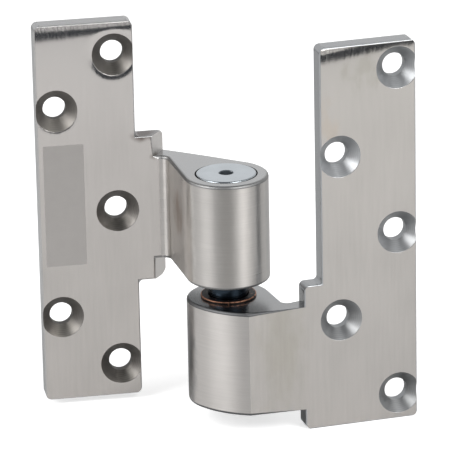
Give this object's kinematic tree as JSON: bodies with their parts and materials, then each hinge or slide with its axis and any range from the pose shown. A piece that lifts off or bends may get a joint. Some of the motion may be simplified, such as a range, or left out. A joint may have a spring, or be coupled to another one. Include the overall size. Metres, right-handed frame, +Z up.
{
  "type": "offset pivot hinge",
  "caption": "Offset door pivot with two countersunk leaves on cranked arms, joined by a headed pin in a flanged bronze bushing.",
  "frame": {"origin": "on the pin's axis, half way up the jamb leaf", "axes": "+Z up along the pin's axis, towards the cap; +Y square to the jamb leaf, from its face towards the door frame; +X from the jamb leaf towards the open door leaf"},
  "size_m": [0.116, 0.0474, 0.1291],
  "materials": {
    "satin_stainless": "cast stainless steel, finely ground and satin polished",
    "hardened_steel": "dark hardened and ground steel",
    "polished_chrome": "polished chrome",
    "sintered_bronze": "porous oil-filled bronze"
  },
  "bodies": {
    "jamb": {"jamb_leaf": "satin_stainless", "pivot_pin": "hardened_steel", "pin_cap": "polished_chrome"},
    "door": {"door_leaf": "satin_stainless", "door_bushing": "sintered_bronze"}
  },
  "joints": [
    {"name": "door_swing", "type": "hinge", "parent": "jamb", "child": "door", "pos_m": [0, 0, 0], "axis": [0, 0, 1], "range_deg": [-186.4, 130]}
  ]
}
